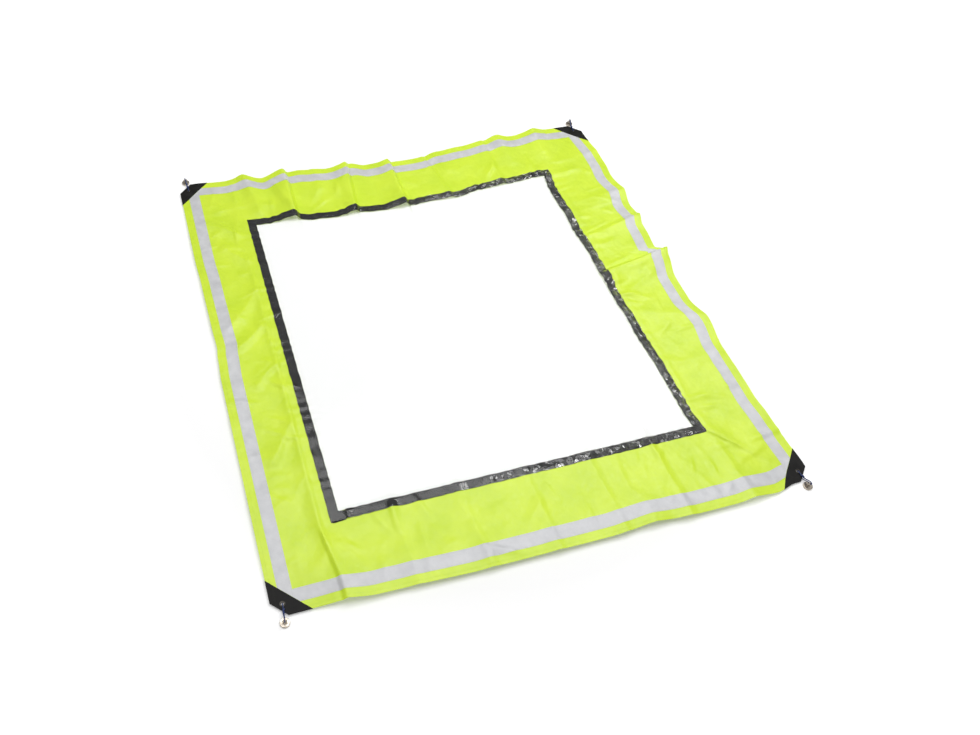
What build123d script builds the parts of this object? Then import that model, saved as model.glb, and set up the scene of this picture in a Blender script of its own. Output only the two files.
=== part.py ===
"""Casualty protection sheet: a square hi-vis cover with a clear window and a magnet on a cord at each corner.

It lies flat with its magnets on the floor. The origin is on the floor under the sheet's middle,
+X is to the right, +Y to the back and +Z up. The sheet is cut at its middle fold, x = 0, because
its right half folds over its left half there.
"""

import os
from math import cos, pi, radians, sin, tan

from build123d import *

os.makedirs("parts", exist_ok=True)

# Driving dimensions, in millimetres.
sheet_width = 2150.0        # left to right
sheet_depth = 2240.0        # front to back
border_width = 300.0        # hi-vis cloth seen between the sheet's edge and the window band
band_width = 38.0           # webbing band round the window
tape_width = 50.0           # retroreflective tape
tape_inset = 36.0           # sheet edge to tape
patch_leg = 140.0           # corner patch, along each edge from the uncut corner
tip_cut = 55.0              # the corner's tip is cut off this far along each edge
eyelet_inset = 42.0         # eyelet centre from each edge
half_gap = 0.5              # each half stops this far short of the middle fold

# Thicknesses and heights of the layers, from the floor up.
underside_height = 6.5      # the cord's lower strand passes under the corner
patch_thickness = 0.9
panel_thickness = 0.6
tape_thickness = 0.35
band_thickness = 1.0
film_thickness = 0.5

# Eyelet.
eyelet_bore = 5.5           # radii
barrel_radius = 6.6
flange_radius = 10.5
flange_thickness = 1.2
washer_thickness = 1.0

# Pot magnet with its eye bolt.
tether_reach = 65.0         # eyelet centre to magnet centre
tether_angle = 5.0          # degrees outward from the straight front or back direction
pot_radius = 18.0
pot_height = 8.0
pot_wall = 2.6
magnet_thickness = 5.0
boss_radius = 6.5
boss_height = 2.0
thread_radius = 3.0
ring_radius = 7.5           # eye's ring, to the middle of its wire
ring_wire = 2.0

# Cord.
cord_radius = 2.0
knot_radius = 4.4
knot_length = 11.0
knot_reach = 28.0           # eyelet centre to knot centre
knot_height = 15.4

# Worked out from the driving dimensions.
half_width = sheet_width / 2
half_depth = sheet_depth / 2
panel_height = underside_height + patch_thickness
face_height = panel_height + panel_thickness
film_height = face_height + band_thickness
top_height = face_height + patch_thickness
window_edge = border_width + band_width
tape_edge = tape_inset + tape_width
ring_height = pot_height + boss_height + ring_radius + ring_wire
wire_height = ring_height + ring_radius
ring_turn = ring_wire + cord_radius + 1.5
strand_low = cord_radius + 0.2
strand_high = top_height + flange_thickness + cord_radius + 1.1

# A corner's name, its side (-1 left, 1 right) and its end (-1 front, 1 back).
corners = [
    ("front_left", -1, -1),
    ("front_right", 1, -1),
    ("back_left", -1, 1),
    ("back_right", 1, 1),
]


def write(part, name):
    """Label a finished piece and write it as its own file."""
    part.label = name
    export_step(part, f"parts/{name}.step")


def slab(outline, height, thickness, holes=()):
    """A flat layer with a polygon outline, pierced for the eyelets' barrels."""
    with BuildPart() as layer:
        with BuildSketch(Plane.XY.offset(height)):
            with BuildLine():
                Polyline(*outline, close=True)
            make_face()
            if holes:
                with Locations(*holes):
                    Circle(barrel_radius, mode=Mode.SUBTRACT)
        extrude(amount=thickness)
    return layer.part


def eyelet_at(side, end):
    """The centre of one corner's eyelet."""
    return (side * (half_width - eyelet_inset), end * (half_depth - eyelet_inset))


# The hi-vis border: side panels and end panels meet at mitred seams, under the corner eyelets.
def side_panel(side):
    """The left or right panel, a trapezoid from the front mitre to the back one."""
    x_edge = side * half_width
    x_tip = side * (half_width - tip_cut / 2)
    x_inner = side * (half_width - window_edge)
    y_edge = half_depth - tip_cut
    y_tip = half_depth - tip_cut / 2
    y_inner = half_depth - window_edge
    outline = [
        (x_edge, -y_edge), (x_edge, y_edge), (x_tip, y_tip),
        (x_inner, y_inner), (x_inner, -y_inner), (x_tip, -y_tip),
    ]
    return slab(outline, panel_height, panel_thickness, [eyelet_at(side, -1), eyelet_at(side, 1)])


def end_panel(side, end):
    """Half of the front or back panel, from its mitre to the middle fold."""
    x_fold = side * half_gap
    y_edge = end * half_depth
    outline = [
        (x_fold, y_edge),
        (side * (half_width - tip_cut), y_edge),
        (side * (half_width - tip_cut / 2), end * (half_depth - tip_cut / 2)),
        (side * (half_width - window_edge), end * (half_depth - window_edge)),
        (x_fold, end * (half_depth - window_edge)),
    ]
    return slab(outline, panel_height, panel_thickness, [eyelet_at(side, end)])


# The webbing band round the window. Each length runs to the frame's outer edge at one end and butts
# against the next length at the other: front to the right, right to the back, and so on round.
def side_band(side):
    """The left or right length; the left one runs through in front, the right one at the back."""
    x_outer = side * (half_width - border_width)
    x_inner = side * (half_width - window_edge)
    y_through = side * (half_depth - border_width)
    y_butt = -side * (half_depth - window_edge)
    outline = [(x_outer, y_through), (x_outer, y_butt), (x_inner, y_butt), (x_inner, y_through)]
    return slab(outline, face_height, band_thickness)


def end_band(side, end):
    """Half of the front or back length, from its end to the middle fold."""
    x_fold = side * half_gap
    runs_through = side == -end
    x_end = side * (half_width - (border_width if runs_through else window_edge))
    y_outer = end * (half_depth - border_width)
    y_inner = end * (half_depth - window_edge)
    outline = [(x_fold, y_outer), (x_end, y_outer), (x_end, y_inner), (x_fold, y_inner)]
    return slab(outline, face_height, band_thickness)


def window_film(side):
    """Half of the clear window, which covers the band as well."""
    x_fold = side * half_gap
    x_edge = side * (half_width - border_width)
    y_edge = half_depth - border_width
    outline = [(x_fold, -y_edge), (x_edge, -y_edge), (x_edge, y_edge), (x_fold, y_edge)]
    return slab(outline, film_height, film_thickness)


# The tape stops at the slanted edge of the corner patches, where |x| + |y| is patch_line.
patch_line = half_width + half_depth - patch_leg


def side_tape(side):
    """The left or right tape, cut slantwise at both patches."""
    x_outer = half_width - tape_inset
    x_inner = half_width - tape_edge
    y_outer = patch_line - x_outer
    y_inner = patch_line - x_inner
    outline = [
        (side * x_outer, -y_outer), (side * x_outer, y_outer),
        (side * x_inner, y_inner), (side * x_inner, -y_inner),
    ]
    return slab(outline, face_height, tape_thickness)


def end_tape(side, end):
    """Half of the front or back tape, which butts against the side tape."""
    x_butt = half_width - tape_edge
    y_outer = half_depth - tape_inset
    y_inner = half_depth - tape_edge
    outline = [
        (side * half_gap, end * y_outer),
        (side * (patch_line - y_outer), end * y_outer),
        (side * x_butt, end * (patch_line - x_butt)),
        (side * x_butt, end * y_inner),
        (side * half_gap, end * y_inner),
    ]
    return slab(outline, face_height, tape_thickness)


def corner_patch(side, end, height):
    """A triangular corner reinforcement with its tip cut off."""
    x_edge = side * half_width
    y_edge = end * half_depth
    outline = [
        (side * (half_width - patch_leg), y_edge),
        (side * (half_width - tip_cut), y_edge),
        (x_edge, end * (half_depth - tip_cut)),
        (x_edge, end * (half_depth - patch_leg)),
    ]
    return slab(outline, height, patch_thickness, [eyelet_at(side, end)])


# Each half's two eyelets, and its two washers, are alike: one in front, the other at the back.
def eyelets(side):
    """Two eyelets: a barrel through the layers with a domed flange on the top patch."""
    with BuildPart() as pair:
        with BuildSketch(Plane.XY.offset(underside_height)):
            with Locations(eyelet_at(side, -1), eyelet_at(side, 1)):
                Circle(barrel_radius)
                Circle(eyelet_bore, mode=Mode.SUBTRACT)
        extrude(amount=top_height - underside_height)
        with BuildSketch(Plane.XY.offset(top_height)):
            with Locations(eyelet_at(side, -1), eyelet_at(side, 1)):
                Circle(flange_radius)
                Circle(eyelet_bore, mode=Mode.SUBTRACT)
        extrude(amount=flange_thickness)
        rims = pair.edges().filter_by(GeomType.CIRCLE).group_by(Axis.Z)[-1]
        fillet(rims, radius=0.5)
    return pair.part


def eyelet_washers(side):
    """Two flat washers under the bottom patches, each clenched on its barrel's end."""
    with BuildPart() as pair:
        with BuildSketch(Plane.XY.offset(underside_height - washer_thickness)):
            with Locations(eyelet_at(side, -1), eyelet_at(side, 1)):
                Circle(flange_radius)
                Circle(eyelet_bore, mode=Mode.SUBTRACT)
        extrude(amount=washer_thickness)
        rims = pair.edges().filter_by(GeomType.CIRCLE).group_by(Axis.Z)[0]
        fillet(rims, radius=0.3)
    return pair.part


# A corner's own plane: its x axis runs along the tether, away from the eyelet, at floor height.
def tether_plane(side, end):
    x, y = eyelet_at(side, end)
    outward = radians(tether_angle)
    return Plane(origin=(x, y, 0), x_dir=(side * sin(outward), end * cos(outward), 0), z_dir=(0, 0, 1))


# The loop of cord in that plane, as (along, across, up): from the knot back over the eyelet, down
# through it, out under the sheet, through the ring, round its wire and back to the knot.
cord_route = [
    (knot_reach - 3.5, 0.0, knot_height - 0.4),
    (10.0, 1.0, strand_high + 0.2),
    (-1.0, 0.0, strand_high),
    (-1.0, 0.0, strand_low),
    (16.0, -2.0, strand_low + 0.1),
    (35.0, -1.0, strand_low),
    (56.0, 0.0, wire_height - ring_turn),
    (tether_reach + ring_turn, 0.0, wire_height - ring_turn),
    (tether_reach + ring_turn, 0.0, wire_height + ring_turn),
    (57.0, 0.5, wire_height + ring_turn - 1.5),
    (44.0, 1.5, knot_height + 4.5),
    (knot_reach + 3.5, 0.0, knot_height + 0.4),
]


def fillet_radii(points):
    """The largest arc that each corner of the route has room for."""
    radii = []
    for before, corner, after in zip(points, points[1:], points[2:]):
        run_in = Vector(*corner) - Vector(*before)
        run_out = Vector(*after) - Vector(*corner)
        turn = radians(run_in.get_angle(run_out))
        shorter = min(run_in.length, run_out.length)
        radii.append(0.45 * shorter / tan(turn / 2))
    return radii


def cord(side, end):
    """One loop of cord, swept along straight runs and tangent arcs."""
    frame = tether_plane(side, end)
    hand = side * end
    points = [frame.from_local_coords((along, hand * across, up)) for along, across, up in cord_route]
    with BuildPart() as loop:
        with BuildLine() as path:
            FilletPolyline(*points, radius=fillet_radii(cord_route))
        with BuildSketch(path.line ^ 0):
            Circle(cord_radius)
        sweep()
    length = path.wires()[0].length
    swept = pi * cord_radius ** 2 * length
    print(f"cord {length:.1f} mm long, volume {loop.part.volume:.0f} of {swept:.0f} mm3")
    return loop.part


def knot(side, end):
    """The overhand knot that closes the loop, a rounded barrel on the upper strand."""
    frame = tether_plane(side, end)
    centre = frame.from_local_coords((knot_reach, 0, knot_height))
    with BuildPart() as lump:
        with BuildSketch(Plane(origin=centre, x_dir=frame.x_dir, z_dir=frame.y_dir)):
            with BuildLine():
                EllipticalCenterArc((0, 0), knot_length / 2, knot_radius, start_angle=0, arc_size=180)
                Line((-knot_length / 2, 0), (knot_length / 2, 0))
            make_face()
        revolve(axis=Axis(centre, frame.x_dir))
    return lump.part


def magnet_plane(side, end):
    """The floor plane under one magnet, its x axis along the tether."""
    frame = tether_plane(side, end)
    return Plane(origin=frame.from_local_coords((tether_reach, 0, 0)), x_dir=frame.x_dir, z_dir=(0, 0, 1))


def pot(side, end):
    """The magnet's steel cup, open below, with a threaded boss on top."""
    floor = magnet_plane(side, end)
    with BuildPart() as cup:
        with BuildSketch(floor):
            Circle(pot_radius)
        extrude(amount=pot_height)
        fillet(cup.edges().filter_by(GeomType.CIRCLE).group_by(Axis.Z)[-1], radius=1.5)
        with BuildSketch(floor.offset(pot_height)):
            Circle(boss_radius)
        extrude(amount=boss_height)
        fillet(cup.edges().filter_by(GeomType.CIRCLE).group_by(Axis.Z)[-1], radius=0.6)
        with BuildSketch(floor):
            Circle(pot_radius - pot_wall)
        extrude(amount=magnet_thickness, mode=Mode.SUBTRACT)
        with BuildSketch(floor.offset(magnet_thickness)):
            Circle(thread_radius)
        extrude(amount=pot_height + boss_height - magnet_thickness, mode=Mode.SUBTRACT)
    return cup.part


def magnet(side, end):
    """The magnet disc, pressed into the cup flush with its rim."""
    with BuildPart() as disc:
        with BuildSketch(magnet_plane(side, end)):
            Circle(pot_radius - pot_wall)
        extrude(amount=magnet_thickness)
    return disc.part


def eye_bolt(side, end):
    """The eye: a wire ring across the tether on a collar and a threaded shank."""
    floor = magnet_plane(side, end)
    with BuildPart() as eye:
        with BuildSketch(floor.offset(magnet_thickness)):
            Circle(thread_radius)
        extrude(amount=pot_height + boss_height - magnet_thickness)
        with BuildSketch(floor.offset(pot_height + boss_height)):
            Circle(thread_radius + 1.2)
        extrude(amount=1.6)
        wire = Plane(origin=floor.from_local_coords((0, 0, ring_height)), x_dir=(0, 0, 1), z_dir=floor.x_dir)
        with BuildSketch(Plane(origin=wire.origin, x_dir=wire.x_dir, z_dir=wire.y_dir)):
            with Locations((ring_radius, 0)):
                Circle(ring_wire)
        revolve(axis=Axis(wire.origin, wire.z_dir))
    return eye.part


for side, side_name in [(-1, "left"), (1, "right")]:
    write(side_panel(side), f"{side_name}_panel")
    write(side_band(side), f"{side_name}_band")
    write(side_tape(side), f"{side_name}_tape")
    write(window_film(side), f"film_{side_name}")
    write(eyelets(side), f"eyelets_{side_name}")
    write(eyelet_washers(side), f"eyelet_washers_{side_name}")
    for end, end_name in [(-1, "front"), (1, "back")]:
        write(end_panel(side, end), f"{end_name}_panel_{side_name}")
        write(end_band(side, end), f"{end_name}_band_{side_name}")
        write(end_tape(side, end), f"{end_name}_tape_{side_name}")

print("cord arc radii", [round(radius, 1) for radius in fillet_radii(cord_route)])
for corner, side, end in corners:
    write(corner_patch(side, end, face_height), f"{corner}_patch")
    write(corner_patch(side, end, underside_height), f"{corner}_patch_backing")
    write(cord(side, end), f"{corner}_cord")
    write(knot(side, end), f"{corner}_knot")
    write(pot(side, end), f"{corner}_pot")
    write(magnet(side, end), f"{corner}_magnet")
    write(eye_bolt(side, end), f"{corner}_eye_bolt")
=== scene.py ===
"""The looks of the casualty protection sheet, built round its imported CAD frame.

The cloth, tapes, bands, patches and film are layers of one draped surface, which drape() gives for
any place (u, v) on the flat sheet. Everything is in metres, in the frame's own axes.
"""

from math import ceil, cos, floor, pi, radians, sin

import bmesh
import bpy
import numpy as np
from mathutils import Matrix, Vector


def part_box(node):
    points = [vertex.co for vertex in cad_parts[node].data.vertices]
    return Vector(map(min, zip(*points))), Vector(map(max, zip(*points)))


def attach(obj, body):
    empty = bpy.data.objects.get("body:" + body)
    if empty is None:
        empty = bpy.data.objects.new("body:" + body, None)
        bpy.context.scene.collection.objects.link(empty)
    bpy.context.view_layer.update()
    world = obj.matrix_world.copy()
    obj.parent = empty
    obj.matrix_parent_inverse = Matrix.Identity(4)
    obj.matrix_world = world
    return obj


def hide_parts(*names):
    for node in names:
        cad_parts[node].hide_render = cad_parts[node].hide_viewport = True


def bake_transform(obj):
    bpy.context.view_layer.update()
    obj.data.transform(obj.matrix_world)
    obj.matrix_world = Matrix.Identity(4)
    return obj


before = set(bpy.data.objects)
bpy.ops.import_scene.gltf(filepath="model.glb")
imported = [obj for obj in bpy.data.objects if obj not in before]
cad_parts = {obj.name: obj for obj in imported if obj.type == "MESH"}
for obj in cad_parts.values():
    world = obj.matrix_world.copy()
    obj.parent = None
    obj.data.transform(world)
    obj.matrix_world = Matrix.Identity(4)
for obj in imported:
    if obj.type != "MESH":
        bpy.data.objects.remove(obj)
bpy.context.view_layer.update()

# Sizes, from the CAD nodes.
half_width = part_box("right_panel")[1].x
half_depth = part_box("back_panel_right")[1].y
corner_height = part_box("right_panel")[0].z
cloth_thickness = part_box("right_panel")[1].z - corner_height
tape_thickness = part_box("right_tape")[1].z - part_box("right_tape")[0].z
band_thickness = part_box("right_band")[1].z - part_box("right_band")[0].z
patch_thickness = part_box("front_left_patch")[1].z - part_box("front_left_patch")[0].z
band_outer = (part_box("right_band")[1].x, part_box("back_band_right")[1].y)
band_inner = (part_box("right_band")[0].x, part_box("back_band_right")[0].y)
band_width = band_outer[0] - band_inner[0]
tape_outer = (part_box("right_tape")[1].x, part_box("back_tape_right")[1].y)
tape_inner = (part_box("right_tape")[0].x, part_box("back_tape_right")[0].y)
patch_line = tape_inner[0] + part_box("right_tape")[1].y
patch_leg = half_width + half_depth - patch_line
tip_cut = 2 * (half_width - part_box("back_panel_right")[1].x)     # a mitre ends halfway along the cut
eyelet_u = (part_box("eyelets_right")[0].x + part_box("eyelets_right")[1].x) / 2
eyelet_v = half_depth - (half_width - eyelet_u)

seam_margin = 0.0035        # from the band's edges to their stitches

# Each corner's name, its side (-1 left, 1 right) and its end (-1 front, 1 back).
corners = [("front_left", -1, -1), ("front_right", 1, -1), ("back_left", -1, 1), ("back_right", 1, 1)]


# ---------------------------------------------------------------- camera

def add_camera():
    """The camera, at the photograph's angle and distance."""
    azimuth, elevation, roll = radians(-18.91), radians(53.66), radians(3.80)
    distance, aim = 3.490, Vector((-0.460, -0.171, 0.0))
    back = Vector((sin(azimuth) * cos(elevation), -cos(azimuth) * cos(elevation), sin(elevation)))
    right = (-back).cross(Vector((0, 0, 1))).normalized()
    up = right.cross(-back)
    across = right * cos(roll) + up * sin(roll)
    upward = up * cos(roll) - right * sin(roll)
    data = bpy.data.cameras.new("camera")
    data.sensor_width = 36.0
    data.lens = 30.45
    data.shift_x = 0.1224
    camera = bpy.data.objects.new("camera", data)
    bpy.context.scene.collection.objects.link(camera)
    place = Matrix((across, upward, back)).transposed().to_4x4()
    place.translation = aim + back * distance
    camera.matrix_world = place
    bpy.context.scene.camera = camera


add_camera()


# ---------------------------------------------------------------- materials

def new_material(name):
    """A material with an empty node tree and its output node."""
    made = bpy.data.materials.new(name)
    made.use_nodes = True
    made.node_tree.nodes.clear()
    return made, made.node_tree


def add(tree, kind, values=None, links=None, **settings):
    """A shader node with its settings, its sockets' own values and its links."""
    node = tree.nodes.new("ShaderNode" + kind)
    for key, value in settings.items():
        setattr(node, key, value)
    for key, value in (values or {}).items():
        node.inputs[key].default_value = value
    for key, source in (links or {}).items():
        tree.links.new(source, node.inputs[key])
    return node


def ramp(tree, source, low=0.0, high=1.0, first=0.0, last=1.0):
    """A socket's values from low to high, spread over first to last."""
    return add(tree, "MapRange", {1: low, 2: high, 3: first, 4: last}, {0: source}).outputs[0]


def combined(tree, operation, first, second):
    """A socket worked out from a socket and a number or another socket."""
    if isinstance(second, float):
        return add(tree, "Math", {1: second}, {0: first}, operation=operation).outputs[0]
    return add(tree, "Math", links={0: first, 1: second}, operation=operation).outputs[0]


def vectors(tree, operation, first, second):
    """A vector node that takes two sockets."""
    return add(tree, "VectorMath", links={0: first, 1: second}, operation=operation)


def colour_mix(tree, factor, first, second):
    """A mix of two colours by a factor socket. Each colour is a value or a socket."""
    node = add(tree, "Mix", data_type="RGBA", links={0: factor})
    for index, colour in ((6, first), (7, second)):
        if isinstance(colour, tuple):
            node.inputs[index].default_value = colour
        else:
            tree.links.new(colour, node.inputs[index])
    return node.outputs[2]


def sheet_place(tree):
    """Where a point is on the flat sheet, in metres."""
    return add(tree, "Attribute", attribute_name="flat").outputs["Vector"]


def object_place(tree):
    """Where a point is in the frame, in metres."""
    return add(tree, "TexCoord").outputs["Object"]


def noise(tree, place, scale, low, high, detail=3.0):
    """Smooth noise, spread over 0 to 1 between its low and high values."""
    source = add(tree, "TexNoise", {"Scale": scale, "Detail": detail}, {"Vector": place})
    return ramp(tree, source.outputs[0], low, high)


def weave(tree, place, pitch, tilt=0.0):
    """Crossing threads at a pitch in metres, from 0 in the gaps to 1 on the crowns."""
    turned = add(tree, "Mapping", {"Rotation": (0, 0, tilt)}, {"Vector": place})
    scale = 2 * pi / 20 / pitch         # a wave texture of scale 1 has 20 radians to the metre
    warp = add(tree, "TexWave", {"Scale": scale}, {"Vector": turned.outputs[0]}, bands_direction="X")
    weft = add(tree, "TexWave", {"Scale": scale}, {"Vector": turned.outputs[0]}, bands_direction="Y")
    return combined(tree, "MULTIPLY", warp.outputs[1], weft.outputs[1])


def bump(tree, height, distance, under=None):
    """Relief of a depth in metres, over the relief under it."""
    node = add(tree, "Bump", {"Distance": distance, "Strength": 1.0}, {"Height": height})
    if under is not None:
        tree.links.new(under, node.inputs["Normal"])
    return node.outputs[0]


def surface(tree, values, links):
    """A Principled shader on the material's output."""
    shader = add(tree, "BsdfPrincipled", values, links)
    add(tree, "OutputMaterial", links={"Surface": shader.outputs[0]})


def cloth_material():
    """Fluorescent yellow-green coated polyester: a fine weave under a soft, slightly crinkled coat."""
    made, tree = new_material("hi_vis_cloth")
    place = sheet_place(tree)
    broad = noise(tree, place, 7.0, 0.35, 0.65)
    fine = noise(tree, place, 60.0, 0.3, 0.7)
    deep, pale = (0.545, 0.745, 0.008, 1), (0.620, 0.810, 0.020, 1)
    colour = colour_mix(tree, broad, deep, pale)
    worn = combined(tree, "MULTIPLY", fine, 0.18)
    colour = colour_mix(tree, worn, colour, (0.68, 0.85, 0.05, 1))
    crinkle = bump(tree, noise(tree, place, 13.0, 0.3, 0.7, 2.0), 0.0022)
    relief = bump(tree, weave(tree, place, 0.0009), 0.00006, crinkle)
    rough = ramp(tree, fine, first=0.38, last=0.52)
    links = {"Base Color": colour, "Normal": relief, "Roughness": rough}
    surface(tree, {"Specular IOR Level": 0.75}, links)
    return made


def tape_material():
    """Silver glass-bead tape with a fine hatch and a slight sparkle."""
    made, tree = new_material("reflective_tape")
    place = sheet_place(tree)
    hatch = weave(tree, place, 0.0026, radians(45))
    patchy = noise(tree, place, 22.0, 0.3, 0.7)
    beads = add(tree, "TexVoronoi", {"Scale": 2600.0}, {"Vector": place})
    colour = colour_mix(tree, patchy, (0.50, 0.505, 0.52, 1), (0.64, 0.645, 0.66, 1))
    colour = colour_mix(tree, hatch, colour, (0.58, 0.585, 0.595, 1))
    relief = bump(tree, beads.outputs["Distance"], 0.00008, bump(tree, hatch, 0.00010))
    crinkle = bump(tree, noise(tree, place, 30.0, 0.3, 0.7), 0.0006, relief)
    rough = ramp(tree, patchy, first=0.42, last=0.55)
    values = {"Metallic": 0.12, "Specular IOR Level": 0.4, "Sheen Weight": 0.8, "Sheen Roughness": 0.35}
    surface(tree, values, {"Base Color": colour, "Normal": crinkle, "Roughness": rough})
    return made


def webbing_material():
    """Black polyester webbing: a coarse twill with slightly lighter crowns."""
    made, tree = new_material("black_webbing")
    place = sheet_place(tree)
    threads = weave(tree, place, 0.0022, radians(30))
    dusty = noise(tree, place, 18.0, 0.3, 0.75)
    colour = colour_mix(tree, threads, (0.007, 0.007, 0.008, 1), (0.018, 0.018, 0.019, 1))
    faint = combined(tree, "MULTIPLY", dusty, 0.35)
    colour = colour_mix(tree, faint, colour, (0.030, 0.030, 0.031, 1))
    relief = bump(tree, threads, 0.00035)
    surface(tree, {"Roughness": 0.62, "Specular IOR Level": 0.15}, {"Base Color": colour, "Normal": relief})
    return made


def past(tree, along, inner):
    """From 0 in the window to 1 over the band, for a place's coordinate and the band's inner edge."""
    reach = add(tree, "Math", links={0: along}, operation="ABSOLUTE").outputs[0]
    return ramp(tree, reach, inner - 0.006, inner + 0.004)


def film_crumples(tree, place):
    """The film's small facets over the band: where they are, most on the right, and their relief."""
    patchy = noise(tree, place, 11.0, 0.30, 0.50, 2.0)
    at = add(tree, "SeparateXYZ", links={0: place})
    rightward = ramp(tree, at.outputs["X"], -0.30, 0.45, 0.06, 1.0)
    over_side = past(tree, at.outputs["X"], band_inner[0])
    over_end = past(tree, at.outputs["Y"], band_inner[1])
    over_band = combined(tree, "MAXIMUM", over_side, over_end)
    amount = combined(tree, "MULTIPLY", rightward, over_band)
    amount = combined(tree, "MULTIPLY", amount, patchy)
    cells = add(tree, "TexVoronoi", {"Scale": 62.0}, {"Vector": place})
    offset = vectors(tree, "SUBTRACT", place, cells.outputs["Position"])
    tilt = add(tree, "VectorMath", {1: (0.5, 0.5, 0.5)}, {0: cells.outputs["Color"]}, operation="SUBTRACT")
    level = vectors(tree, "DOT_PRODUCT", offset.outputs[0], tilt.outputs[0])
    return amount, combined(tree, "MULTIPLY", level.outputs["Value"], amount)


def film_material():
    """Clear film: it only mirrors, most at a slant, and shows what is under it."""
    made, tree = new_material("clear_film")
    place = sheet_place(tree)
    ripples = bump(tree, noise(tree, place, 24.0, 0.25, 0.75, 2.0), 0.0010)
    crumpled, facets = film_crumples(tree, place)
    ripples = bump(tree, facets, 1.5, ripples)
    facing = add(tree, "LayerWeight", {"Blend": 0.5}, {"Normal": ripples})
    slant = combined(tree, "POWER", facing.outputs["Facing"], 5.0)
    least = ramp(tree, crumpled, first=0.026, last=0.11)
    mirror = add(tree, "MapRange", {4: 0.9}, {0: slant, 3: least})
    clear = add(tree, "BsdfTransparent", {"Color": (0.995, 0.997, 0.995, 1)})
    gloss = add(tree, "BsdfAnisotropic", {"Roughness": 0.06}, {"Normal": ripples})
    links = {0: mirror.outputs[0], 1: clear.outputs[0], 2: gloss.outputs[0]}
    mixed = add(tree, "MixShader", links=links)
    add(tree, "OutputMaterial", links={"Surface": mixed.outputs[0]})
    return made


def patch_material():
    """Black coated cloth: matt with a fine grain, worn paler in places."""
    made, tree = new_material("black_coated_cloth")
    place = sheet_place(tree)
    grain = add(tree, "TexVoronoi", {"Scale": 700.0}, {"Vector": place})
    worn = noise(tree, place, 26.0, 0.35, 0.8)
    colour = colour_mix(tree, worn, (0.008, 0.0077, 0.0074, 1), (0.019, 0.0183, 0.0175, 1))
    relief = bump(tree, grain.outputs["Distance"], 0.00012)
    rough = ramp(tree, worn, first=0.42, last=0.58)
    links = {"Base Color": colour, "Normal": relief, "Roughness": rough}
    surface(tree, {"Specular IOR Level": 0.12}, links)
    return made


def thread_material(name, dark, light):
    """Twisted sewing thread of a colour."""
    made, tree = new_material(name)
    twist = noise(tree, object_place(tree), 900.0, 0.3, 0.7, 1.0)
    surface(tree, {"Roughness": 0.55}, {"Base Color": colour_mix(tree, twist, dark, light)})
    return made


def cord_material():
    """Navy braided cord: its plaits are in the mesh, and its yarns' sheen and flecks are here."""
    made, tree = new_material("navy_cord")
    place = object_place(tree)
    yarn = noise(tree, place, 1400.0, 0.3, 0.7, 2.0)
    fleck = noise(tree, place, 420.0, 0.55, 0.7, 1.0)
    colour = colour_mix(tree, yarn, (0.006, 0.013, 0.060, 1), (0.016, 0.034, 0.140, 1))
    colour = colour_mix(tree, fleck, colour, (0.040, 0.080, 0.260, 1))
    surface(tree, {"Roughness": 0.5}, {"Base Color": colour, "Normal": bump(tree, yarn, 0.0001)})
    return made


def metal_material(name, dull, bright, rough_low, rough_high, grain):
    """Bare or plated metal, with a fine brushed grain and duller patches."""
    made, tree = new_material(name)
    place = object_place(tree)
    patchy = noise(tree, place, 90.0, 0.35, 0.7)
    fine = noise(tree, place, 1800.0, 0.3, 0.7, 2.0)
    links = {
        "Base Color": colour_mix(tree, patchy, bright, dull),
        "Normal": bump(tree, fine, grain),
        "Roughness": ramp(tree, patchy, first=rough_low, last=rough_high),
    }
    surface(tree, {"Metallic": 1.0}, links)
    return made


cloth = cloth_material()
tape = tape_material()
webbing = webbing_material()
clear_film = film_material()
coated_cloth = patch_material()
grey_thread = thread_material("grey_thread", (0.30, 0.31, 0.32, 1), (0.52, 0.53, 0.54, 1))
lime_thread = thread_material("lime_thread", (0.42, 0.62, 0.03, 1), (0.60, 0.80, 0.10, 1))
black_thread = thread_material("black_thread", (0.012, 0.012, 0.013, 1), (0.040, 0.040, 0.043, 1))
navy_braid = cord_material()
nickel = metal_material("nickel_plate", (0.34, 0.30, 0.25, 1), (0.60, 0.54, 0.46, 1), 0.18, 0.34, 0.00003)
dark_brass = metal_material("eyelet_metal", (0.022, 0.020, 0.018, 1), (0.070, 0.065, 0.056, 1),
                            0.30, 0.52, 0.00003)
ferrite = metal_material("magnet_grey", (0.08, 0.08, 0.085, 1), (0.20, 0.20, 0.21, 1), 0.4, 0.6, 0.00005)


# ---------------------------------------------------------------- mesh helpers

def add_object(name, points, faces, finish):
    """A mesh object, smooth but for its sharp edges."""
    data = bpy.data.meshes.new(name)
    data.from_pydata([tuple(p) for p in points], [], faces)
    data.materials.append(finish)
    data.shade_smooth()
    data.set_sharp_from_angle(angle=radians(50))
    piece = bpy.data.objects.new(name, data)
    bpy.context.scene.collection.objects.link(piece)
    return piece


def frames_along(path):
    """A normal and a binormal at each point of a path, carried along without twist."""
    tangents = np.gradient(path, axis=0)
    tangents /= np.linalg.norm(tangents, axis=1)[:, None]
    normal = np.cross(tangents[0], (0.0, 0.3, 1.0))
    normal /= np.linalg.norm(normal)
    normals = []
    for tangent in tangents:
        normal = normal - tangent * (normal @ tangent)
        normal /= np.linalg.norm(normal)
        normals.append(normal)
    normals = np.array(normals)
    return normals, np.cross(tangents, normals)


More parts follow.
